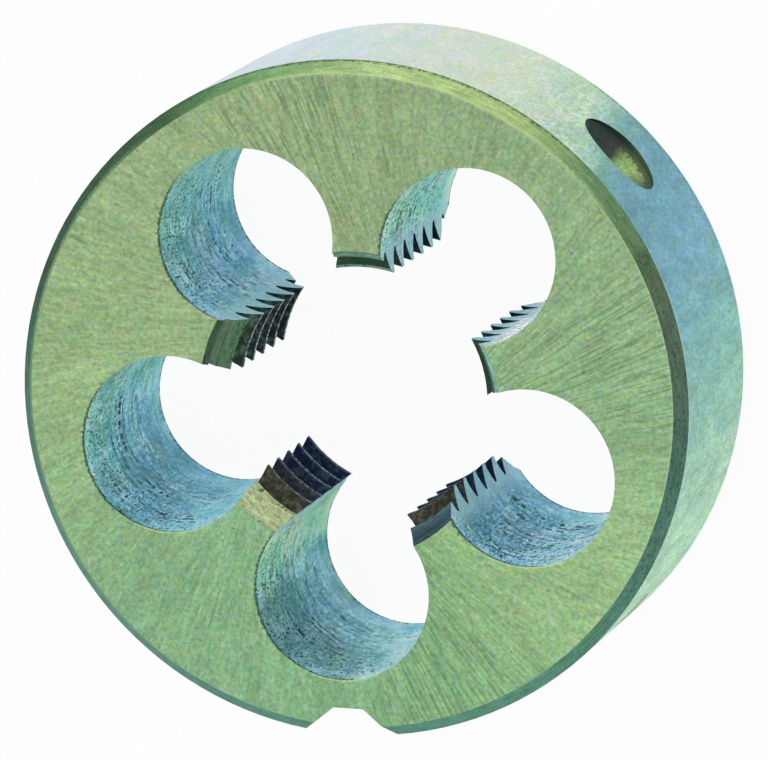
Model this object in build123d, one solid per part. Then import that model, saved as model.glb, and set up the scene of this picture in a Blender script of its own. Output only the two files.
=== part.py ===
"""Round threading die, right-hand M20 x 2.5, closed and ready to be split at its notch.

One piece of tool steel, 45 mm across and 18 mm thick. Its back face lies on Z = 0 with the
origin at its centre, its front face looks along +Z, and the rim notch is centred on -Y.
Lengths are in millimetres, and angles in degrees, counted from +X towards +Y.
"""

import math
import os

from build123d import *

# Disc
OUTER_DIAMETER = 45.0
THICKNESS = 18.0
RIM_CHAMFER_WIDTH = 0.8
RIM_CHAMFER_DEPTH = 1.05

# Bore, which is the circle of the thread's crests
BORE_DIAMETER = 17.1

# Thread on the lands: the groove's root is at THREAD_START above the back face, towards +X
THREAD_DIAMETER = 20.0
THREAD_PITCH = 2.5
THREAD_ANGLE = 60.0
THREAD_START = 1.1

# Lead-in cones at the two faces, their mouths a little wider all round than the thread.
# In front each land has a cone of its own, set aside by LEAD_OFFSET, so that the land falls
# away from its cutting edge, which is at its end in the direction of growing angles.
# All of them together are ground off the thread's axis by the front cones' runout.
CONE_ANGLE = 60.0
FRONT_MOUTH_CLEARANCE = 0.2
BACK_MOUTH_CLEARANCE = 0.4
LEAD_OFFSET = 0.4
FRONT_RUNOUT = 0.2
FRONT_RUNOUT_DIRECTION = 232.0

# Flutes: chip holes from inside the bore to the web that is left under the rim
FLUTE_COUNT = 5
FLUTE_REACH = 1.71
OUTER_WEB = 3.87
FLUTE_FROM_NOTCH = -2.1

# Notch along the rim, where the die can be split and spread by a pointed screw
NOTCH_DIRECTION = 270.0
NOTCH_DEPTH = 2.0
NOTCH_FLOOR_WIDTH = 2.0
NOTCH_ANGLE = 100.0

# Seats in the rim for the screws that hold the die in its stock
SEAT_DIAMETER = 6.2
SEAT_MOUTH_DEPTH = 0.35
SEAT_CONE_ANGLE = 118.0
SEATS_FROM_NOTCH = (-135.0, -45.0, 45.0, 135.0)

# A cutting solid runs this far past the faces that it opens
OVERRUN = 1.0

# Each piece of the thread's groove covers this share of the way from flute to flute
GROOVE_SHARE = 0.85


def slope_of(included_angle):
    """Sideways run for each unit of depth on one side of a V or a cone."""
    return math.tan(math.radians(included_angle / 2))


def flute_directions():
    """Directions of the flutes' centres about the axis."""
    first = NOTCH_DIRECTION + FLUTE_FROM_NOTCH
    return [first + i * 360 / FLUTE_COUNT for i in range(FLUTE_COUNT)]


def land_directions():
    """Directions of the cutting lands' middles, halfway between the flutes."""
    return [direction + 180 / FLUTE_COUNT for direction in flute_directions()]


def make_disc():
    """The turned blank, with a chamfer round the rim at each face."""
    rim = OUTER_DIAMETER / 2
    face_radius = rim - RIM_CHAMFER_WIDTH
    half_outline = Polyline(
        (0, 0),
        (face_radius, 0),
        (rim, RIM_CHAMFER_DEPTH),
        (rim, THICKNESS - RIM_CHAMFER_DEPTH),
        (face_radius, THICKNESS),
        (0, THICKNESS),
        close=True,
    )
    return revolve(Plane.XZ * make_face(half_outline), Axis.Z)


def make_cone(mouth_clearance):
    """A cone that stands on its tip, with its mouth at the height where Z is zero."""
    mouth_radius = THREAD_DIAMETER / 2 + mouth_clearance
    overrun_radius = mouth_radius + OVERRUN * slope_of(CONE_ANGLE)
    half_outline = Polyline(
        (0, -mouth_radius / slope_of(CONE_ANGLE)),
        (overrun_radius, OVERRUN),
        (0, OVERRUN),
        close=True,
    )
    return revolve(Plane.XZ * make_face(half_outline), Axis.Z)


def make_core():
    """The bore, with the cone that opens it at the back."""
    bore = Cylinder(
        BORE_DIAMETER / 2,
        THICKNESS + 2 * OVERRUN,
        align=(Align.CENTER, Align.CENTER, Align.MIN),
    )
    return Pos(0, 0, -OVERRUN) * bore + Rot(180, 0, 0) * make_cone(BACK_MOUTH_CLEARANCE)


def make_front_cones():
    """The lead-in cones in front, one for each land and no wider than its share of the turn."""
    half_step = math.radians(180 / FLUTE_COUNT)
    reach = THREAD_DIAMETER
    share = Polyline(
        (0, 0),
        (reach, -reach * math.tan(half_step)),
        (reach, reach * math.tan(half_step)),
        close=True,
    )
    sector = extrude(make_face(share), THICKNESS + OVERRUN)
    relieved = Pos(0, -LEAD_OFFSET, THICKNESS) * make_cone(FRONT_MOUTH_CLEARANCE)
    runout = Vector(FRONT_RUNOUT, 0, 0).rotate(Axis.Z, FRONT_RUNOUT_DIRECTION)
    cones = []
    for direction in land_directions():
        on_land = Rot(0, 0, direction)
        cones.append((Pos(runout) * on_land * relieved) & (on_land * sector))
    return cones


def make_flutes():
    """The round chip holes, which leave the cutting lands between them."""
    inner_reach = BORE_DIAMETER / 2 - FLUTE_REACH
    outer_reach = OUTER_DIAMETER / 2 - OUTER_WEB
    flute = Cylinder(
        (outer_reach - inner_reach) / 2,
        THICKNESS + 2 * OVERRUN,
        align=(Align.CENTER, Align.CENTER, Align.MIN),
    )
    in_place = Pos((outer_reach + inner_reach) / 2, 0, -OVERRUN) * flute
    return [Rot(0, 0, direction) * in_place for direction in flute_directions()]


def make_groove_piece(span):
    """A stretch of the thread's helical groove that turns through this span from +X."""
    root_radius = THREAD_DIAMETER / 2
    root_half_width = THREAD_PITCH / 16
    inner_radius = BORE_DIAMETER / 2 - root_half_width
    inner_half_width = root_half_width + (root_radius - inner_radius) * slope_of(THREAD_ANGLE)
    section = Polyline(
        (inner_radius, -inner_half_width),
        (root_radius, -root_half_width),
        (root_radius, root_half_width),
        (inner_radius, inner_half_width),
        close=True,
    )
    helix = Helix(THREAD_PITCH, THREAD_PITCH * span / 360, root_radius)
    return sweep(Plane.XZ * make_face(section), helix, is_frenet=True)


def make_thread_grooves():
    """The groove between the crests, in pieces that cross one land each.

    A piece starts and ends in the open flutes on either side of its land.
    """
    flute_step = 360 / FLUTE_COUNT
    span = GROOVE_SHARE * flute_step
    piece = make_groove_piece(span)
    turns = math.ceil(THICKNESS / THREAD_PITCH) + 2
    pieces = []
    for direction in flute_directions():
        start = direction + (flute_step - span) / 2
        root_height = THREAD_START + THREAD_PITCH * start / 360
        lowest = root_height % THREAD_PITCH - THREAD_PITCH
        for turn in range(turns):
            place = Pos(0, 0, lowest + turn * THREAD_PITCH) * Rot(0, 0, start)
            pieces.append(place * piece)
    return pieces


def make_notch():
    """The flat-floored V groove along the rim."""
    floor_radius = OUTER_DIAMETER / 2 - NOTCH_DEPTH
    reach = NOTCH_DEPTH + OVERRUN
    floor_half_width = NOTCH_FLOOR_WIDTH / 2
    mouth_half_width = floor_half_width + reach * slope_of(NOTCH_ANGLE)
    section = Polyline(
        (floor_radius, -floor_half_width),
        (floor_radius + reach, -mouth_half_width),
        (floor_radius + reach, mouth_half_width),
        (floor_radius, floor_half_width),
        close=True,
    )
    cutter = extrude(make_face(section), THICKNESS + 2 * OVERRUN)
    return Rot(0, 0, NOTCH_DIRECTION) * Pos(0, 0, -OVERRUN) * cutter


def make_screw_seats():
    """The drilled seats round the rim, halfway between the faces."""
    rim = OUTER_DIAMETER / 2
    seat_radius = SEAT_DIAMETER / 2
    cone_base = rim - SEAT_MOUTH_DEPTH
    half_outline = Polyline(
        (cone_base - seat_radius / slope_of(SEAT_CONE_ANGLE), 0),
        (cone_base, seat_radius),
        (rim + OVERRUN, seat_radius),
        (rim + OVERRUN, 0),
        close=True,
    )
    drill = Pos(0, 0, THICKNESS / 2) * revolve(make_face(half_outline), Axis.X)
    return [Rot(0, 0, NOTCH_DIRECTION + turn) * drill for turn in SEATS_FROM_NOTCH]


def make_die():
    """The whole die, cut from its blank."""
    die = make_disc() - make_core()
    die -= make_front_cones()
    die -= make_flutes()
    die -= make_thread_grooves()
    die -= make_notch()
    die -= make_screw_seats()
    return die


os.makedirs("parts", exist_ok=True)
export_step(make_die(), "parts/round_die.step")
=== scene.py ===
"""The look of the round threading die: its ground, turned, drilled and tapped steel surfaces."""

import math

import bpy
from mathutils import Matrix, Vector


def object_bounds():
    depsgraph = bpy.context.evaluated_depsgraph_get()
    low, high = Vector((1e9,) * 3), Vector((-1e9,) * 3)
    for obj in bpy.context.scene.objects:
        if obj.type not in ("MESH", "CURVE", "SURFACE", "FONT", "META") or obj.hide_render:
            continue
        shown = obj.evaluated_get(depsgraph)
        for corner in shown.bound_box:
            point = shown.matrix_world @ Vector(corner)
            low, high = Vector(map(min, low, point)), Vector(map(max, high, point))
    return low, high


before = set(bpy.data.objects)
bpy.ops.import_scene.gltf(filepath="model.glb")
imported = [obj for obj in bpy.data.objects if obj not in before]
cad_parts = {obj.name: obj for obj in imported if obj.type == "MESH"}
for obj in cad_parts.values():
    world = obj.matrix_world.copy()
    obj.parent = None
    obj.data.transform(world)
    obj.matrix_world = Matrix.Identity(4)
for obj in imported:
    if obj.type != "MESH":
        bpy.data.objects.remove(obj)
cad_low, cad_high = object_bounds()

MILLIMETRE = 0.001

# The die's own sizes, in millimetres
RIM_RADIUS = cad_high.x / MILLIMETRE
THICKNESS = cad_high.z / MILLIMETRE
CHAMFER_WIDTH = 0.8
CHAMFER_DEPTH = 1.05
FACE_RADIUS = RIM_RADIUS - CHAMFER_WIDTH
THREAD_CREST_RADIUS = 8.55
THREAD_PITCH = 2.5
THREAD_START = 1.1
CONE_MOUTH_RADIUS = 10.7
CONE_DEPTH = 3.0
FLUTE_RADIUS = 5.895
FLUTE_CIRCLE_RADIUS = 12.735
FLUTE_COUNT = 5
SEAT_RADIUS = 3.1
NOTCH_HALF_WIDTH = 3.4

# Directions from the axis, in degrees from +X towards +Y. The notch is at 270.
FIRST_FLUTE = 267.9
FLUTE_STEP = 360 / FLUTE_COUNT
FLUTES = [FIRST_FLUTE + number * FLUTE_STEP for number in range(FLUTE_COUNT)]
LANDS = [flute + FLUTE_STEP / 2 for flute in FLUTES]
LOWER_FLUTE, RIGHT_FLUTE, UPPER_RIGHT_FLUTE, UPPER_LEFT_FLUTE, LEFT_FLUTE = FLUTES
LOWER_RIGHT_LAND, RIGHT_LAND, UPPER_LAND, UPPER_LEFT_LAND, LOWER_LEFT_LAND = LANDS
LOWER_RIGHT_SEAT = 315


def flute_centres():
    """The flutes' centres, seen from above."""
    turns = [math.radians(flute) for flute in FLUTES]
    return [Vector((math.cos(turn), math.sin(turn))) * FLUTE_CIRCLE_RADIUS for turn in turns]


def linear(red, green, blue):
    """A colour given as it looks, 0 to 255, as the levels of light that a shader takes."""
    shares = (red / 255, green / 255, blue / 255)
    return tuple(s / 12.92 if s <= 0.04045 else ((s + 0.055) / 1.055) ** 2.4 for s in shares) + (1.0,)


class Finish:
    """One material, made of named steps in its node tree. Lengths in it are in millimetres."""

    def __init__(self, name):
        self.material = bpy.data.materials.new(name)
        self.material.use_nodes = True
        self.tree = self.material.node_tree
        self.tree.nodes.clear()
        output = self.tree.nodes.new("ShaderNodeOutputMaterial")
        self.shader = self.tree.nodes.new("ShaderNodeBsdfPrincipled")
        self.tree.links.new(self.shader.outputs["BSDF"], output.inputs["Surface"])
        place = self.tree.nodes.new("ShaderNodeTexCoord")
        scaled = self.tree.nodes.new("ShaderNodeVectorMath")
        scaled.operation = "SCALE"
        scaled.inputs["Scale"].default_value = 1 / MILLIMETRE
        self.tree.links.new(place.outputs["Object"], scaled.inputs[0])
        parts = self.tree.nodes.new("ShaderNodeSeparateXYZ")
        self.tree.links.new(scaled.outputs[0], parts.inputs[0])
        self.place = scaled.outputs[0]
        self.x, self.y, self.z = parts.outputs
        self.radius = self.length(self.x, self.y)
        self.turn = self.math("ARCTAN2", self.y, self.x)
        self.share = self.share_of_turn(self.turn)

    def set(self, socket, value):
        """Joins a step to a socket, or sets the socket to a plain value or colour."""
        if isinstance(value, bpy.types.NodeSocket):
            self.tree.links.new(value, socket)
        elif isinstance(value, tuple) and socket.type == "RGBA":
            socket.default_value = linear(*value)
        else:
            socket.default_value = value

    def math(self, operation, first, second=0.0, third=0.0):
        node = self.tree.nodes.new("ShaderNodeMath")
        node.operation = operation
        for socket, value in zip(node.inputs, (first, second, third)):
            self.set(socket, value)
        return node.outputs[0]

    def add(self, first, second):
        return self.math("ADD", first, second)

    def minus(self, first, second):
        return self.math("SUBTRACT", first, second)

    def times(self, first, second):
        return self.math("MULTIPLY", first, second)

    def length(self, first, second):
        return self.math("SQRT", self.add(self.times(first, first), self.times(second, second)))

    def share_of_turn(self, angle):
        """An angle in radians as a share of the full turn, from 0 to 1."""
        return self.math("FRACT", self.math("DIVIDE", angle, math.tau))

    def join(self, x, y, z=0.0):
        """A place from its three steps or plain numbers."""
        node = self.tree.nodes.new("ShaderNodeCombineXYZ")
        for socket, value in zip(node.inputs, (x, y, z)):
            self.set(socket, value)
        return node.outputs[0]

    def add_vector(self, vector, shift):
        """The same places moved aside, for a noise of their own."""
        node = self.tree.nodes.new("ShaderNodeVectorMath")
        node.operation = "ADD"
        self.set(node.inputs[0], vector)
        node.inputs[1].default_value = (shift, shift, shift)
        return node.outputs[0]

    def noise(self, vector, scale, detail=2.0, roughness=0.5):
        """A noise with about this many waves to each unit of the vector."""
        node = self.tree.nodes.new("ShaderNodeTexNoise")
        self.set(node.inputs["Vector"], vector)
        node.inputs["Scale"].default_value = scale
        node.inputs["Detail"].default_value = detail
        node.inputs["Roughness"].default_value = roughness
        return node.outputs["Fac"]

    def fade(self, value, low, high, from_level=0.0, to_level=1.0):
        """From one level to the other as the value goes from low to high, and level beyond."""
        node = self.tree.nodes.new("ShaderNodeMapRange")
        node.interpolation_type = "SMOOTHSTEP"
        self.set(node.inputs["Value"], value)
        node.inputs["From Min"].default_value = low
        node.inputs["From Max"].default_value = high
        node.inputs["To Min"].default_value = from_level
        node.inputs["To Max"].default_value = to_level
        return node.outputs["Result"]

    def stray(self, noise, amount):
        """A level about 1 that follows a noise, by this amount from end to end."""
        return self.add(1.0, self.times(self.minus(noise, 0.5), amount))

    def ragged(self, value, noise, amount):
        """A length that a noise moves to and fro, by this amount from end to end."""
        return self.add(value, self.times(self.minus(noise, 0.5), amount))

    def facing(self, degrees, share=None):
        """1 in this direction from the axis, and -1 in the opposite one."""
        turn = self.times(self.share if share is None else share, math.tau)
        return self.math("COSINE", self.minus(turn, math.radians(degrees)))

    def mix(self, share, first, second, blend="MIX"):
        """The first colour where the share is 0, the second where it is 1."""
        node = self.tree.nodes.new("ShaderNodeMix")
        node.data_type = "RGBA"
        node.blend_type = blend
        # This node's colour sockets come after those for numbers and vectors
        self.set(node.inputs[0], share)
        self.set(node.inputs[6], first)
        self.set(node.inputs[7], second)
        return node.outputs[2]

    def shade(self, colour, level, red=1.0, blue=1.0):
        """A colour at another level, with its red and blue raised or lowered."""
        levels = self.join(self.times(level, red), level, self.times(level, blue))
        return self.mix(1.0, colour, levels, blend="MULTIPLY")

    def bands(self, value, *stops):
        """Colours at places from 0 to 1, in rising order."""
        node = self.tree.nodes.new("ShaderNodeValToRGB")
        elements = node.color_ramp.elements
        for element, (place, colour) in zip(elements, (stops[0], stops[-1])):
            element.position = place
            element.color = linear(*colour)
        for place, colour in stops[1:-1]:
            elements.new(place).color = linear(*colour)
        self.set(node.inputs[0], value)
        return node.outputs["Color"]

    def colours_round(self, share, *stops):
        """Colours at directions in degrees, in rising order, that join up over a full turn."""
        (first, start), (last, end) = stops[0], stops[-1]
        part = (360 - last) / (360 - last + first)
        seam = tuple(a + (b - a) * part for a, b in zip(end, start))
        places = [(degrees / 360, colour) for degrees, colour in stops]
        return self.bands(share, (0.0, seam), *places, (1.0, seam))

    def thread_phase(self):
        """0 and 1 at the middle of the thread's groove, and 0.5 at the middle of its crest."""
        turns_up = self.math("DIVIDE", self.minus(self.z, THREAD_START), THREAD_PITCH)
        return self.math("FRACT", self.minus(turns_up, self.share))

    def bump(self, height, depth, strength=1.0):
        """Raises the surface by the height times the depth."""
        node = self.tree.nodes.new("ShaderNodeBump")
        node.inputs["Strength"].default_value = strength
        node.inputs["Distance"].default_value = depth * MILLIMETRE
        self.set(node.inputs["Height"], height)
        self.set(self.shader.inputs["Normal"], node.outputs["Normal"])

    def steel(self, colour, roughness, metallic=0.85, edge=1.0):
        """The finished steel; a low edge level keeps it dark where it is seen at a low angle."""
        self.set(self.shader.inputs["Base Color"], colour)
        self.set(self.shader.inputs["Roughness"], roughness)
        self.shader.inputs["Metallic"].default_value = metallic
        self.shader.inputs["Specular Tint"].default_value = (edge, edge, edge, 1.0)
        self.shader.inputs["Specular IOR Level"].default_value = edge / 2
        return self.material


class Flute:
    """The flute nearest to a place: its direction, and where the place lies from its axis."""

    def __init__(self, finish):
        first = math.radians(FIRST_FLUTE)
        step = math.radians(FLUTE_STEP)
        number = finish.math("DIVIDE", finish.minus(finish.turn, first), step)
        number = finish.math("ROUND", number)
        direction = finish.math("MULTIPLY_ADD", number, step, first)
        across = finish.times(finish.math("COSINE", direction), FLUTE_CIRCLE_RADIUS)
        up = finish.times(finish.math("SINE", direction), FLUTE_CIRCLE_RADIUS)
        self.x = finish.minus(finish.x, across)
        self.y = finish.minus(finish.y, up)
        self.away = finish.length(self.x, self.y)
        self.share = finish.share_of_turn(finish.math("ARCTAN2", self.y, self.x))
        self.middle = finish.share_of_turn(direction)


def ground_face():
    """The flat faces, with straight grinding streaks that all pass the axis at one distance, and a
    painted sheen that changes round the axis.
    """
    finish = Finish("ground_face")
    passing_distance = 4.5
    lean = finish.math("ARCSINE", finish.math("DIVIDE", passing_distance, finish.radius))
    streak = finish.add(finish.turn, lean)
    streaks_round = 15.0
    across = [finish.times(finish.math(side, streak), streaks_round) for side in ("COSINE", "SINE")]
    path = finish.join(*across, finish.times(finish.radius, 0.16))
    long_path = finish.join(*across, finish.times(finish.radius, 0.04))
    # Painted sheen: the face's colour changes with the direction from the axis, as its reflected
    # light would
    colour = finish.colours_round(
        finish.share,
        (40, (138, 168, 126)),
        (90, (140, 163, 121)),
        (135, (145, 169, 125)),
        (180, (146, 175, 126)),
        (225, (133, 172, 130)),
        (270, (129, 170, 127)),
        (295, (129, 168, 122)),
        (315, (147, 183, 132)),
        (335, (149, 182, 133)),
        (355, (137, 171, 128)),
    )
    fine = finish.noise(path, 5.5, detail=3.0, roughness=0.65)
    broad = finish.noise(path, 0.9, detail=3.0, roughness=0.6)
    grain = finish.noise(finish.place, 3.6, detail=3.0, roughness=0.75)
    blue = finish.noise(finish.place, 2.0, detail=3.0, roughness=0.75)
    red = finish.noise(finish.add_vector(finish.place, 31.0), 1.5, detail=3.0, roughness=0.7)
    level = finish.times(finish.stray(fine, 0.9), finish.stray(broad, 0.55))
    level = finish.times(level, finish.stray(grain, 1.3))
    # Dark hairs along the streaks
    hair = finish.fade(finish.noise(path, 2.6, detail=1.0), 0.24, 0.31, 0.78, 1.0)
    level = finish.times(level, hair)
    # Bundles of long lines, dark and light, in three directions, and faint ones all round
    bundle = 0.12
    for direction in (12, 104, 291):
        bundle = finish.add(bundle, finish.fade(finish.facing(direction), 0.950, 0.995))
    line = finish.fade(finish.noise(long_path, 8.0, detail=1.0), 0.38, 0.50, -0.22, 0.06)
    level = finish.times(level, finish.add(1.0, finish.times(bundle, line)))
    # Dark specks
    speck = finish.fade(finish.noise(finish.place, 3.3, detail=1.0), 0.22, 0.27, 0.62, 1.0)
    level = finish.times(level, speck)
    colour = finish.shade(colour, level, finish.stray(red, 0.8), finish.stray(blue, 1.5))
    colour = with_edges(finish, colour)
    finish.bump(finish.add(fine, finish.times(broad, 0.5)), 0.012, 0.6)
    return finish.steel(colour, finish.fade(fine, 0.2, 0.8, 0.42, 0.58))


def with_edges(finish, colour):
    """The face's edges: ragged dark lines and painted highlights at the flutes, and a painted
    highlight along the edge at the rim.
    """
    flute = Flute(finish)
    tick = finish.noise(finish.place, 4.5, detail=2.0, roughness=0.7)
    away = finish.ragged(flute.away, tick, 0.5)
    beside = finish.fade(away, FLUTE_RADIUS + 0.05, FLUTE_RADIUS + 0.13, 1.0, 0.0)
    # A ragged dark line along the left side of each flute's edge
    dark_edge = finish.times(beside, finish.fade(finish.facing(185, flute.share), 0.62, 0.80))
    colour = finish.mix(finish.times(dark_edge, 0.8), colour, (45, 70, 58))
    # A painted highlight along the lower side of each flute's edge
    painted_highlight = finish.times(beside, finish.fade(finish.facing(272, flute.share), 0.86, 0.97))
    colour = finish.mix(finish.times(painted_highlight, 0.6), colour, (190, 214, 150))
    # A painted highlight along the face's edge at the rim, above on the right
    rim = finish.ragged(finish.radius, tick, 0.4)
    painted_light = finish.fade(rim, FACE_RADIUS - 0.16, FACE_RADIUS - 0.08)
    painted_light = finish.times(painted_light, finish.fade(finish.facing(35), 0.30, 0.55))
    return finish.mix(finish.times(painted_light, 0.35), colour, (164, 194, 146))


def ground_rim():
    """The cylinder round the die, satin, with worm-like marks, patches of faint colour and painted
    reflections that change round it.
    """
    finish = Finish("ground_rim")
    twist = math.radians(0.39)
    slant = finish.share_of_turn(finish.math("MULTIPLY_ADD", finish.z, twist, finish.turn))
    # Painted reflections: pale mint and white above, teal-blue on the right, as reflected
    # surroundings would colour the rim
    colour = finish.colours_round(
        slant,
        (13, (122, 186, 176)),
        (28, (110, 172, 191)),
        (43, (98, 162, 180)),
        (50, (114, 176, 170)),
        (57, (186, 218, 192)),
        (68, (205, 222, 199)),
        (86, (210, 222, 210)),
        (108, (205, 223, 228)),
        (150, (200, 215, 215)),
        (240, (180, 205, 190)),
        (333, (165, 216, 177)),
        (348, (156, 207, 174)),
    )
    worms = finish.join(finish.x, finish.y, finish.times(finish.z, 0.33))
    grain = finish.noise(worms, 4.2, detail=3.0, roughness=0.65)
    cloud = finish.noise(worms, 0.8, detail=3.0, roughness=0.6)
    patch = finish.noise(worms, 0.45, detail=2.0, roughness=0.6)
    red = finish.noise(finish.add_vector(worms, 23.0), 0.6, detail=3.0, roughness=0.6)
    blue = finish.noise(finish.add_vector(worms, 47.0), 1.3, detail=3.0, roughness=0.7)
    # The marks are strongest on the right
    right = finish.fade(finish.facing(0), 0.25, 0.75)
    level = finish.times(
        finish.stray(grain, finish.fade(right, 0.0, 1.0, 0.65, 1.6)),
        finish.stray(cloud, finish.fade(right, 0.0, 1.0, 0.16, 0.9)),
    )
    level = finish.times(level, finish.stray(patch, finish.fade(right, 0.0, 1.0, 0.12, 0.35)))
    even = finish.math("POWER", finish.math("MAXIMUM", level, 0.05), 0.35)
    red = finish.times(even, finish.stray(red, 0.6))
    colour = finish.shade(colour, level, red, finish.stray(blue, 1.0))
    # A painted highlight along the front on the right, and painted shade along the back
    side = finish.fade(finish.facing(0), 0.86, 0.96)
    front = finish.times(finish.fade(finish.z, THICKNESS - 1.6, THICKNESS - 1.15), side)
    colour = finish.mix(finish.times(front, 0.6), colour, (152, 196, 186))
    height = finish.add(finish.z, grain)
    back = finish.fade(height, CHAMFER_DEPTH + 1.3, CHAMFER_DEPTH + 0.4)
    back = finish.times(back, finish.fade(finish.facing(45), 0.96, 0.99))
    colour = finish.mix(finish.times(back, 0.6), colour, (78, 124, 122))
    finish.bump(grain, 0.008, 0.5)
    return finish.steel(colour, finish.fade(grain, 0.2, 0.8, 0.40, 0.55), metallic=0.8)


def turned_chamfer():
    """The chamfers at the rim, with turning lines, painted light and shade round the die, and edges
    that differ from side to side.
    """
    finish = Finish("turned_chamfer")
    across = finish.math("DIVIDE", finish.minus(finish.radius, FACE_RADIUS), CHAMFER_WIDTH)
    grain = finish.noise(finish.place, 4.5, detail=3.0, roughness=0.7)
    cloud = finish.noise(finish.place, 0.9, detail=3.0, roughness=0.6)
    ring_path = finish.join(finish.radius, 0.0, finish.times(finish.turn, 1.5))
    rings = finish.noise(ring_path, 9.0, detail=2.0)
    # Painted light and shade: lighter above, darker on the right and left
    colour = finish.colours_round(
        finish.share,
        (10, (82, 104, 88)),
        (25, (86, 108, 80)),
        (45, (108, 146, 102)),
        (62, (170, 194, 132)),
        (85, (174, 200, 138)),
        (108, (120, 164, 112)),
        (125, (66, 98, 66)),
        (160, (58, 90, 70)),
        (210, (94, 152, 134)),
        (300, (92, 146, 124)),
        (350, (76, 114, 98)),
    )
    level = finish.times(finish.stray(grain, 0.9), finish.stray(cloud, 0.7))
    level = finish.times(level, finish.stray(rings, 1.1))
    colour = finish.shade(colour, level, finish.stray(cloud, 0.3), finish.stray(grain, 0.3))
    across = finish.ragged(across, grain, 0.9)
    # A painted highlight along the inner edge above
    inner = finish.times(
        finish.fade(across, 0.06, 0.20, 1.0, 0.0),
        finish.fade(finish.facing(78), 0.70, 0.88),
    )
    colour = finish.mix(finish.times(inner, 0.55), colour, (200, 215, 152))
    # Painted shade along the outer edge above and on the left
    outer = finish.times(
        finish.fade(across, 0.84, 0.96),
        finish.fade(finish.facing(115), 0.2, 0.5),
    )
    colour = finish.mix(finish.times(outer, 0.8), colour, (58, 84, 62))
    # Dark specks on the right
    speck = finish.fade(finish.noise(finish.place, 4.2, detail=2.0), 0.58, 0.64)
    speck = finish.times(speck, finish.fade(finish.facing(0), 0.75, 0.92))
    colour = finish.mix(finish.times(speck, 0.5), colour, (36, 44, 62))
    # An inner edge on the left that is coloured like the face
    inner = finish.times(
        finish.fade(across, 0.10, 0.40, 1.0, 0.0),
        finish.fade(finish.facing(185), 0.50, 0.75),
    )
    colour = finish.mix(finish.times(inner, 0.8), colour, (132, 166, 122))
    finish.bump(rings, 0.02, 0.6)
    return finish.steel(colour, 0.45, metallic=0.7, edge=0.5)


def on_wall(finish, flute, round_it, along_it=None):
    """Places on a flute's wall, spread round the flute and along it, for a noise."""
    height = finish.z if along_it is None else finish.times(finish.z, along_it)
    return finish.join(finish.times(flute.x, round_it), finish.times(flute.y, round_it), height)


def drilled_flute():
    """The flutes' walls, grainy, pitted near the front and scored round by the drill, with painted
    light and highlights.
    """
    finish = Finish("drilled_flute")
    flute = Flute(finish)
    # Moved apart, so that each flute has marks of its own
    apart = 200.0
    flute.x = finish.add(flute.x, finish.times(flute.middle, apart))
    short = on_wall(finish, flute, 3.0)
    long = on_wall(finish, flute, 0.5)
    grain = finish.noise(short, 1.6, detail=3.0, roughness=0.7)
    cloud = finish.noise(on_wall(finish, flute, 0.6, 0.3), 0.9)
    red = finish.noise(finish.add_vector(long, 23.0), 0.7, detail=3.0)
    blue = finish.noise(finish.add_vector(long, 47.0), 0.9, detail=3.0)
    # The grain is stronger at the front, and in the two flutes on the right
    front = finish.fade(finish.z, 1.0, 5.0, 0.45, 1.0)
    rough = finish.fade(finish.facing(RIGHT_LAND, flute.middle), 0.5, 0.8, 0.85, 1.4)
    level = finish.times(
        finish.stray(finish.fade(grain, 0.2, 0.8), finish.times(front, rough)),
        finish.stray(cloud, 1.4),
    )
    # Painted light and shade: the lower part of the upper left flute is lighter, and that of the left
    # one darker
    lift = finish.minus(
        finish.fade(finish.facing(UPPER_LEFT_FLUTE, flute.middle), 0.5, 0.9, 0.0, 0.20),
        finish.fade(finish.facing(LEFT_FLUTE, flute.middle), 0.5, 0.9, 0.0, 0.07),
    )
    lift = finish.times(lift, finish.fade(finish.facing(285, flute.share), 0.0, 0.7))
    level = finish.times(level, finish.add(1.0, lift))
    score = finish.noise(on_wall(finish, flute, 0.2), 2.4, detail=4.0, roughness=0.7)
    # Little light reaches these walls, so their colours are raised
    raised = 2.4
    level = finish.times(finish.times(level, finish.stray(score, 1.2)), raised)
    even = finish.math("POWER", finish.math("MAXIMUM", finish.times(level, 0.45), 0.05), 0.7)
    warm = finish.fade(finish.facing(LOWER_LEFT_LAND, flute.middle), 0.3, 0.7, 1.24, 1.29)
    red = finish.times(finish.times(even, warm), finish.stray(red, 0.7))
    cool = finish.fade(finish.facing(LOWER_FLUTE, flute.middle), 0.5, 0.9, 1.02, 0.94)
    blue = finish.times(cool, finish.stray(blue, 0.9))
    colour = finish.shade(flute_colour(finish, flute), level, red, blue)
    colour = with_scores(finish, colour, flute, cloud)
    # Dark pits, most of them in the front half
    pit = finish.fade(finish.noise(short, 2.2, detail=1.0), 0.60, 0.65)
    height = finish.add(finish.z, finish.times(cloud, 10.0))
    pit = finish.times(pit, finish.fade(height, 13.0, 19.0))
    colour = finish.mix(finish.times(pit, 0.85), colour, (4, 50, 58))
    # Painted highlights along the edges beside the thread
    radius = finish.ragged(finish.radius, grain, 1.5)
    painted_highlight = finish.fade(radius, 9.8, 11.6, 1.0, 0.0)
    colour = finish.mix(finish.times(painted_highlight, 0.75), colour, (204, 240, 254))
    # A ragged dark line along the front edge on one side, and a dark back edge
    height = finish.ragged(finish.z, grain, 1.2)
    dark_edge = finish.times(
        finish.fade(height, THICKNESS - 0.28, THICKNESS - 0.16),
        finish.fade(finish.facing(212, flute.share), 0.30, 0.50),
    )
    colour = finish.mix(finish.times(dark_edge, 0.85), colour, (16, 48, 44))
    back = finish.fade(height, 0.10, 0.24, 1.0, 0.0)
    colour = finish.mix(finish.times(back, 0.8), colour, (50, 84, 80))
    finish.bump(finish.add(score, finish.times(grain, 0.5)), 0.03, 0.6)
    return finish.steel(colour, 0.5, metallic=0.5, edge=0.15)


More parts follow.
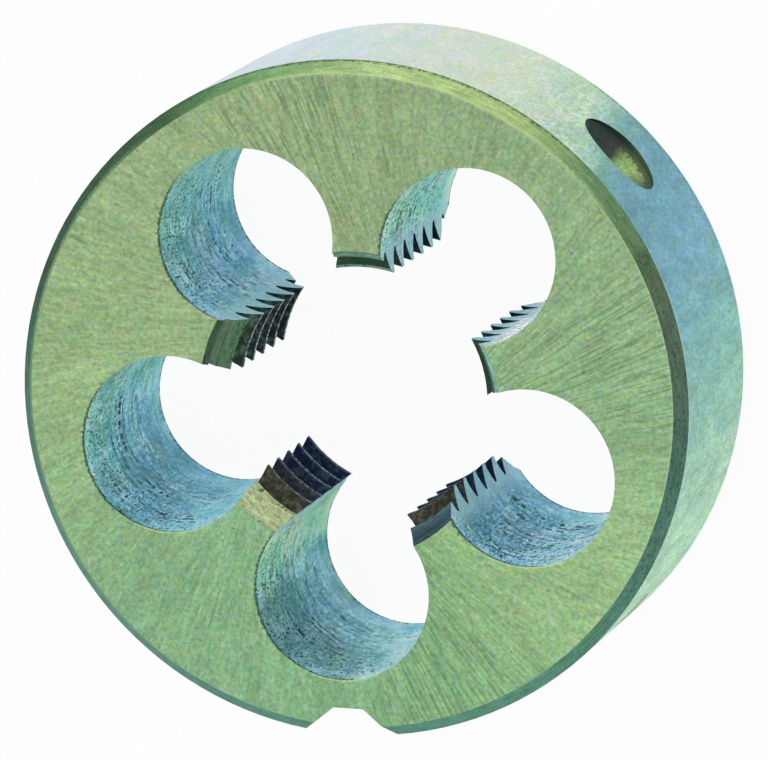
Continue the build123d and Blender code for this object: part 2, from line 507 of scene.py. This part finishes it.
def flute_colour(finish, flute):
    """Painted light and reflections round each flute's own axis: green above, blue below, palest
    lower right.
    """
    colour = finish.colours_round(
        flute.share,
        (25, (84, 122, 124)),
        (70, (92, 134, 128)),
        (100, (120, 184, 160)),
        (140, (106, 170, 158)),
        (175, (98, 158, 162)),
        (215, (88, 139, 154)),
        (250, (100, 151, 166)),
        (280, (126, 184, 201)),
        (308, (150, 204, 220)),
        (335, (96, 134, 142)),
    )
    upper_right = finish.fade(finish.facing(UPPER_RIGHT_FLUTE, flute.middle), 0.5, 0.9)
    lower = finish.fade(finish.facing(LOWER_FLUTE, flute.middle), 0.5, 0.9)
    # Painted light: greener on the left in the upper right flute, and at the front of them all
    green = finish.times(upper_right, finish.fade(finish.facing(150, flute.share), 0.2, 0.5))
    colour = finish.mix(green, colour, (126, 196, 176))
    front = finish.times(
        finish.fade(finish.z, THICKNESS - 10.0, THICKNESS - 3.0),
        finish.fade(finish.facing(150, flute.share), 0.2, 0.7),
    )
    colour = finish.mix(finish.times(front, 0.55), colour, (110, 166, 147))
    # In the lower flute, painted light at the upper left and painted shade at the lower left
    green = finish.times(lower, finish.fade(finish.facing(130, flute.share), 0.55, 0.85))
    colour = finish.mix(green, colour, (132, 190, 162))
    dark = finish.times(lower, finish.fade(finish.facing(232, flute.share), 0.55, 0.85))
    dark = finish.times(dark, finish.fade(finish.z, THICKNESS - 12.0, THICKNESS - 6.0))
    colour = finish.mix(finish.times(dark, 0.55), colour, (62, 110, 116))
    # A painted highlight: a nearly white strip at the lower right of the upper right flute
    white = finish.times(upper_right, finish.fade(finish.facing(310, flute.share), 0.80, 0.90))
    return finish.mix(finish.times(white, 0.85), colour, (226, 234, 250))


def with_scores(finish, colour, flute, cloud):
    """The drill's scores: thin dark lines round the flute, and rows of short dark dashes."""
    path = on_wall(finish, flute, 0.12)
    wave = finish.noise(path, 1.0, detail=3.0, roughness=0.65)
    # The scored side, which is turned on in the right flute and back in the upper right one
    scored_side = math.radians(212)
    right = finish.fade(finish.facing(RIGHT_FLUTE, flute.middle), 0.5, 0.9)
    upper = finish.fade(finish.facing(UPPER_RIGHT_FLUTE, flute.middle), 0.5, 0.9)
    turned_on = finish.minus(
        finish.times(right, math.radians(55)),
        finish.times(upper, math.radians(60)),
    )
    turn = finish.minus(finish.times(flute.share, math.tau), finish.add(scored_side, turned_on))
    side = finish.ragged(finish.math("COSINE", turn), cloud, 3.5)
    depth = finish.times(
        finish.fade(finish.z, 2.0, 5.0),
        finish.fade(finish.z, THICKNESS - 3.0, THICKNESS - 1.0, 1.0, 0.0),
    )
    scored = finish.times(finish.fade(side, 0.45, 0.95), depth)
    # Dark lines and light ones, broken by gaps
    gap = finish.noise(on_wall(finish, flute, 0.5), 1.3, detail=1.0)
    for height, width, strength, line in (
        (0.44, 0.010, 0.75, (12, 62, 84)),
        (0.50, 0.007, 0.60, (12, 62, 84)),
        (0.55, 0.010, 0.75, (12, 62, 84)),
        (0.47, 0.008, 0.35, (170, 208, 218)),
        (0.53, 0.008, 0.35, (170, 208, 218)),
    ):
        off = finish.math("ABSOLUTE", finish.minus(wave, height))
        there = finish.times(finish.fade(off, width, width * 2, 1.0, 0.0), scored)
        there = finish.times(there, finish.fade(gap, 0.45, 0.52))
        colour = finish.mix(finish.times(there, strength), colour, line)
    # A row of dashes to each millimetre of height
    row = finish.math("FRACT", finish.add(finish.z, finish.times(wave, 1.5)))
    row = finish.fade(finish.math("ABSOLUTE", finish.minus(row, 0.5)), 0.14, 0.30, 1.0, 0.0)
    dash = finish.noise(on_wall(finish, flute, 3.3, 0.6), 1.0, detail=1.0)
    dash = finish.fade(dash, 0.46, 0.53)
    patch = finish.noise(path, 0.6, detail=1.0)
    patch = finish.add(patch, finish.times(finish.add(right, upper), 0.12))
    patch = finish.fade(patch, 0.52, 0.60)
    dashes = finish.times(finish.times(row, dash), finish.times(patch, scored))
    return finish.mix(finish.times(dashes, 0.9), colour, (4, 58, 82))


def lead_in_cone():
    """The cones that lead into the thread, with painted light and shade of their own on each land,
    and turning lines.
    """
    finish = Finish("lead_in_cone")
    depth = finish.math("MINIMUM", finish.z, finish.minus(THICKNESS, finish.z))
    depth = finish.math("DIVIDE", depth, CONE_DEPTH)
    grain = finish.noise(finish.place, 3.4, detail=3.0, roughness=0.7)
    ring_path = finish.join(depth, 0.0, finish.times(finish.turn, 0.8))
    rings = finish.noise(ring_path, 11.0, detail=3.0, roughness=0.7)
    # Painted light and shade on each land, as its part of the cone faces its own way, from the face
    # inwards as shares of the cone's depth
    land_light_and_shade = {
        RIGHT_LAND: (
            (0.0, (150, 212, 190)),
            (0.24, (146, 206, 186)),
            (0.30, (54, 80, 64)),
            (1.0, (46, 66, 58)),
        ),
        UPPER_LAND: (
            (0.0, (120, 168, 136)),
            (0.3, (122, 170, 138)),
            (0.45, (48, 78, 58)),
            (0.8, (126, 174, 156)),
        ),
        UPPER_LEFT_LAND: (
            (0.0, (76, 98, 78)),
            (0.34, (78, 108, 80)),
            (0.38, (50, 72, 54)),
            (0.46, (104, 142, 108)),
        ),
        LOWER_LEFT_LAND: (
            (0.0, (176, 194, 138)),
            (0.08, (204, 216, 162)),
            (0.7, (204, 212, 160)),
            (1.0, (140, 150, 108)),
        ),
        LOWER_RIGHT_LAND: (
            (0.0, (74, 104, 110)),
            (0.2, (56, 76, 92)),
            (0.5, (84, 114, 122)),
            (1.0, (56, 74, 88)),
        ),
    }
    colour = (90, 120, 100)
    for direction, stops in land_light_and_shade.items():
        here = finish.fade(finish.facing(direction), 0.80, 0.82)
        colour = finish.mix(here, colour, finish.bands(depth, *stops))
    level = finish.times(finish.stray(rings, 2.2), finish.stray(grain, 1.4))
    colour = finish.shade(colour, level)
    # Dark specks at the face and at the thread, and none between
    speck = finish.fade(finish.noise(finish.place, 3.4, detail=2.0), 0.56, 0.62)
    edge = finish.fade(finish.math("ABSOLUTE", finish.minus(depth, 0.33)), 0.22, 0.30)
    colour = finish.mix(finish.times(finish.times(speck, edge), 0.8), colour, (34, 42, 40))
    finish.bump(rings, 0.02, 0.6)
    return finish.steel(colour, 0.45, metallic=0.35, edge=0.5)


def cut_thread():
    """The thread's flanks and roots, dark from hardening and from painted shade of the deep bore."""
    finish = Finish("cut_thread")
    return finish.steel(thread_colour(finish), 0.45, metallic=0.5, edge=0.4)


def thread_colour(finish):
    """Navy or teal deep in the die, and green or brown nearer its front face."""
    grain = finish.noise(finish.place, 2.4, detail=3.0, roughness=0.65)
    depth = finish.minus(THICKNESS, finish.z)
    navy = finish.bands(grain, (0.38, (14, 24, 46)), (0.52, (20, 34, 58)), (0.62, (44, 60, 70)))
    teal = finish.bands(grain, (0.38, (16, 26, 30)), (0.52, (28, 42, 44)), (0.62, (56, 74, 68)))
    brown = finish.bands(grain, (0.38, (40, 42, 36)), (0.52, (58, 58, 48)), (0.62, (80, 84, 68)))
    green = finish.bands(grain, (0.38, (28, 42, 34)), (0.52, (44, 60, 50)), (0.62, (72, 94, 76)))
    finish.bump(grain, 0.01, 0.5)
    left = finish.fade(finish.facing(150), 0.75, 0.90)
    lower = finish.fade(finish.facing(LOWER_FLUTE), 0.20, 0.50)
    deep = finish.mix(left, navy, teal)
    outer = finish.mix(lower, green, brown)
    colour = finish.mix(finish.fade(depth, 3.5, 8.0), outer, deep)
    # The thread's mouth is green in the upper half, and to a greater depth at the right land
    depth = finish.minus(depth, finish.fade(finish.facing(RIGHT_LAND), 0.7, 0.9, 0.0, 1.3))
    mouth = finish.times(
        finish.fade(depth, 2.2, 2.6, 1.0, 0.0),
        finish.fade(finish.facing(UPPER_LAND), -0.15, 0.0),
    )
    upper_right = finish.fade(finish.facing(UPPER_RIGHT_FLUTE), 0.55, 0.7)
    green = finish.mix(upper_right, (84, 106, 86), (42, 70, 54))
    return finish.mix(mouth, colour, finish.shade(green, finish.stray(grain, 1.2)))


def thread_crest():
    """The narrow tops of the thread, dark as its flanks, with a painted highlight in dots along the
    deep edge.
    """
    finish = Finish("thread_crest")
    grain = finish.noise(finish.place, 4.0, detail=2.0)
    phase = finish.ragged(finish.thread_phase(), grain, 0.08)
    # A painted highlight along the crest's deep edge, broken into dots, brightest on the upper left
    # land
    line = finish.fade(phase, 0.49, 0.51, 1.0, 0.0)
    highlight_dots = finish.fade(finish.noise(finish.place, 5.5, detail=1.0), 0.47, 0.54)
    upper_left = finish.fade(finish.facing(UPPER_LEFT_LAND), 0.5, 0.9)
    light = finish.mix(upper_left, (140, 168, 180), (235, 250, 242))
    colour = finish.mix(finish.times(line, highlight_dots), thread_colour(finish), light)
    return finish.steel(colour, 0.45, metallic=0.5, edge=0.4)


def milled_notch():
    """The notch in the rim, milled along the die."""
    finish = Finish("milled_notch")
    mill_path = finish.join(finish.x, finish.y, finish.times(finish.z, 0.1))
    lines = finish.noise(mill_path, 6.0, detail=2.0)
    grain = finish.noise(finish.place, 2.4, detail=3.0, roughness=0.7)
    colour = finish.bands(lines, (0.36, (96, 138, 122)), (0.6, (138, 176, 152)))
    colour = finish.shade(colour, finish.stray(grain, 0.7), 1.0, finish.stray(grain, 0.3))
    finish.bump(lines, 0.02, 0.6)
    return finish.steel(colour, 0.45)


def drilled_seat():
    """The screw seats in the rim, with the drill's rings, painted light and shade round each seat,
    and a painted shadow at the lip.
    """
    finish = Finish("drilled_seat")
    # A place's distance and direction from the axis of the nearest seat
    quarter = math.pi / 2
    number = finish.math("DIVIDE", finish.minus(finish.turn, quarter / 2), quarter)
    number = finish.math("ROUND", number)
    middle = finish.math("MULTIPLY_ADD", number, quarter, quarter / 2)
    along = finish.times(finish.radius, finish.math("SINE", finish.minus(finish.turn, middle)))
    up = finish.minus(finish.z, THICKNESS / 2)
    away = finish.length(along, up)
    share = finish.share_of_turn(finish.math("ARCTAN2", up, along))
    rings = finish.noise(finish.join(away, 0.0, 0.0), 5.0, detail=3.0, roughness=0.7)
    grain = finish.noise(finish.place, 4.0, detail=3.0, roughness=0.7)
    # Painted light and shade round each seat's axis: light low on one side, dark above and on the
    # other
    colour = finish.colours_round(
        share,
        (20, (40, 60, 60)),
        (90, (44, 62, 60)),
        (150, (60, 92, 66)),
        (185, (85, 130, 80)),
        (206, (124, 158, 102)),
        (228, (164, 196, 124)),
        (258, (150, 184, 116)),
        (282, (70, 71, 64)),
        (302, (60, 64, 60)),
        (322, (46, 62, 60)),
        (350, (36, 54, 58)),
    )
    level = finish.times(finish.stray(rings, 1.2), finish.stray(grain, 1.8))
    colour = finish.shade(colour, level)
    # A painted shadow of the seat's wall along its lip
    lip_shadow = finish.fade(finish.ragged(away, grain, 1.8), SEAT_RADIUS - 0.55, SEAT_RADIUS - 0.35)
    colour = finish.mix(finish.times(lip_shadow, 0.8), colour, (42, 62, 56))
    # Painted light: the lower half of one seat is pale
    painted_light = finish.times(
        finish.fade(finish.facing(LOWER_RIGHT_SEAT), 0.80, 0.90),
        finish.fade(up, -1.4, -0.4, 1.0, 0.0),
    )
    colour = finish.mix(painted_light, colour, (206, 216, 190))
    finish.bump(rings, 0.02, 0.6)
    return finish.steel(colour, 0.45, metallic=0.4, edge=0.5)


def surface_of(polygon, centres):
    """Which of the die's surfaces a facet belongs to, by where it lies and how it faces."""
    place, normal = polygon.center / MILLIMETRE, polygon.normal
    near = 0.1
    radius = math.hypot(place.x, place.y)
    from_face = min(place.z, THICKNESS - place.z)
    upright = abs(normal.z)
    if upright > 0.99 and from_face < near:
        return "face"
    centre = min(centres, key=lambda c: (place.xy - c).length)
    inward = (centre - place.xy) / FLUTE_RADIUS
    if abs(inward.length - 1) < near / 4 and inward.dot(normal.xy) > 0.9 and upright < 0.05:
        return "flute"
    if radius > FACE_RADIUS and upright > 0.5 and from_face < CHAMFER_DEPTH:
        return "chamfer"
    if radius < CONE_MOUTH_RADIUS + near:
        # 0.87 on the thread's flanks, 0.58 on the cones and 0 on crests and roots
        if upright > 0.7:
            return "thread"
        if upright > 0.4:
            return "cone"
        return "crest" if radius < THREAD_CREST_RADIUS + near else "thread"
    outward = (normal.x * place.x + normal.y * place.y) / radius
    if radius > RIM_RADIUS - near and outward > 0.99:
        return "rim"
    return "notch" if abs(place.x) < NOTCH_HALF_WIDTH + near and place.y < 0 else "seat"


def dress(node):
    """Gives each of the die's surfaces its own finish."""
    finishes = {
        "face": ground_face(),
        "rim": ground_rim(),
        "chamfer": turned_chamfer(),
        "flute": drilled_flute(),
        "cone": lead_in_cone(),
        "thread": cut_thread(),
        "crest": thread_crest(),
        "notch": milled_notch(),
        "seat": drilled_seat(),
    }
    node.data.materials.clear()
    for material in finishes.values():
        node.data.materials.append(material)
    slots = {name: index for index, name in enumerate(finishes)}
    centres = flute_centres()
    for polygon in node.data.polygons:
        polygon.material_index = slots[surface_of(polygon, centres)]


def make_floor():
    """A pale floor that shows nearly white to the eye and keeps the die's shadow."""
    bpy.ops.mesh.primitive_plane_add(size=4.0, location=(0, 0, 0))
    floor = bpy.context.object
    floor.name = "floor"
    material = bpy.data.materials.new("pale_floor")
    material.use_nodes = True
    tree = material.node_tree
    tree.nodes.clear()
    output = tree.nodes.new("ShaderNodeOutputMaterial")
    plain = tree.nodes.new("ShaderNodeBsdfDiffuse")
    plain.inputs["Color"].default_value = (0.9, 0.9, 0.9, 1)
    white = tree.nodes.new("ShaderNodeEmission")
    white.inputs["Color"].default_value = (1, 1, 1, 1)
    white.inputs["Strength"].default_value = 1.0
    white_share = tree.nodes.new("ShaderNodeMath")
    white_share.operation = "MULTIPLY"
    white_share.inputs[1].default_value = 0.94
    tree.links.new(seen_by_eye(tree), white_share.inputs[0])
    mix = tree.nodes.new("ShaderNodeMixShader")
    tree.links.new(white_share.outputs[0], mix.inputs[0])
    tree.links.new(plain.outputs[0], mix.inputs[1])
    tree.links.new(white.outputs[0], mix.inputs[2])
    tree.links.new(mix.outputs[0], output.inputs["Surface"])
    floor.data.materials.append(material)


def seen_by_eye(tree):
    """1 for rays from the camera, or from a gloss or glass that shows the background."""
    path = tree.nodes.new("ShaderNodeLightPath")
    total = path.outputs["Is Camera Ray"]
    for name in ("Is Glossy Ray", "Is Transmission Ray"):
        either = tree.nodes.new("ShaderNodeMath")
        either.operation = "MAXIMUM"
        tree.links.new(total, either.inputs[0])
        tree.links.new(path.outputs[name], either.inputs[1])
        total = either.outputs[0]
    return total


def make_world():
    """An even pale surround, white to the eye."""
    world = bpy.data.worlds.new("studio")
    world.use_nodes = True
    bpy.context.scene.world = world
    tree = world.node_tree
    tree.nodes.clear()
    output = tree.nodes.new("ShaderNodeOutputWorld")
    background = tree.nodes.new("ShaderNodeBackground")
    background.inputs["Color"].default_value = (1, 1, 1, 1)
    level = tree.nodes.new("ShaderNodeMapRange")
    tree.links.new(seen_by_eye(tree), level.inputs["Value"])
    level.inputs["To Min"].default_value = 0.7
    level.inputs["To Max"].default_value = 1.0
    tree.links.new(level.outputs["Result"], background.inputs["Strength"])
    tree.links.new(background.outputs[0], output.inputs["Surface"])


def add_light(name, place, size, power):
    """A soft square lamp aimed at the die. Its place and size are in metres, its power in watts."""
    lamp = bpy.data.lights.new(name, "AREA")
    lamp.shape = "SQUARE"
    lamp.size = size
    lamp.energy = power
    light = bpy.data.objects.new(name, lamp)
    bpy.context.collection.objects.link(light)
    light.location = place
    light.rotation_euler = (-Vector(place)).to_track_quat("-Z", "Y").to_euler()


def add_camera():
    """A long lens, looking down at the die from its right and a little behind it."""
    target = Vector((-0.07, -0.20, THICKNESS / 2)) * MILLIMETRE
    distance = 636.9 * MILLIMETRE
    azimuth = math.radians(37.25)
    elevation = math.radians(71.58)
    # Turned about its line of sight, so that the notch is at the bottom of the view
    roll = math.radians(-125.476)
    view = Vector((
        math.cos(elevation) * math.cos(azimuth),
        math.cos(elevation) * math.sin(azimuth),
        math.sin(elevation),
    ))
    camera = bpy.data.cameras.new("camera")
    camera.lens = 450.96
    camera.sensor_width = 36.0
    eye = bpy.data.objects.new("camera", camera)
    bpy.context.collection.objects.link(eye)
    upright = view.to_track_quat("Z", "Y").to_matrix()
    turned = upright @ Matrix.Rotation(roll, 3, "Z")
    eye.matrix_world = Matrix.Translation(target + view * distance) @ turned.to_4x4()
    bpy.context.scene.camera = eye


dress(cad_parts["round_die"])
make_floor()
make_world()
add_light("key", place=(-0.25, 0.55, 0.7), size=0.5, power=2.4)
add_light("fill", place=(0.5, -0.2, 0.6), size=0.6, power=1.0)
add_camera()
bpy.context.scene.view_settings.view_transform = "Standard"
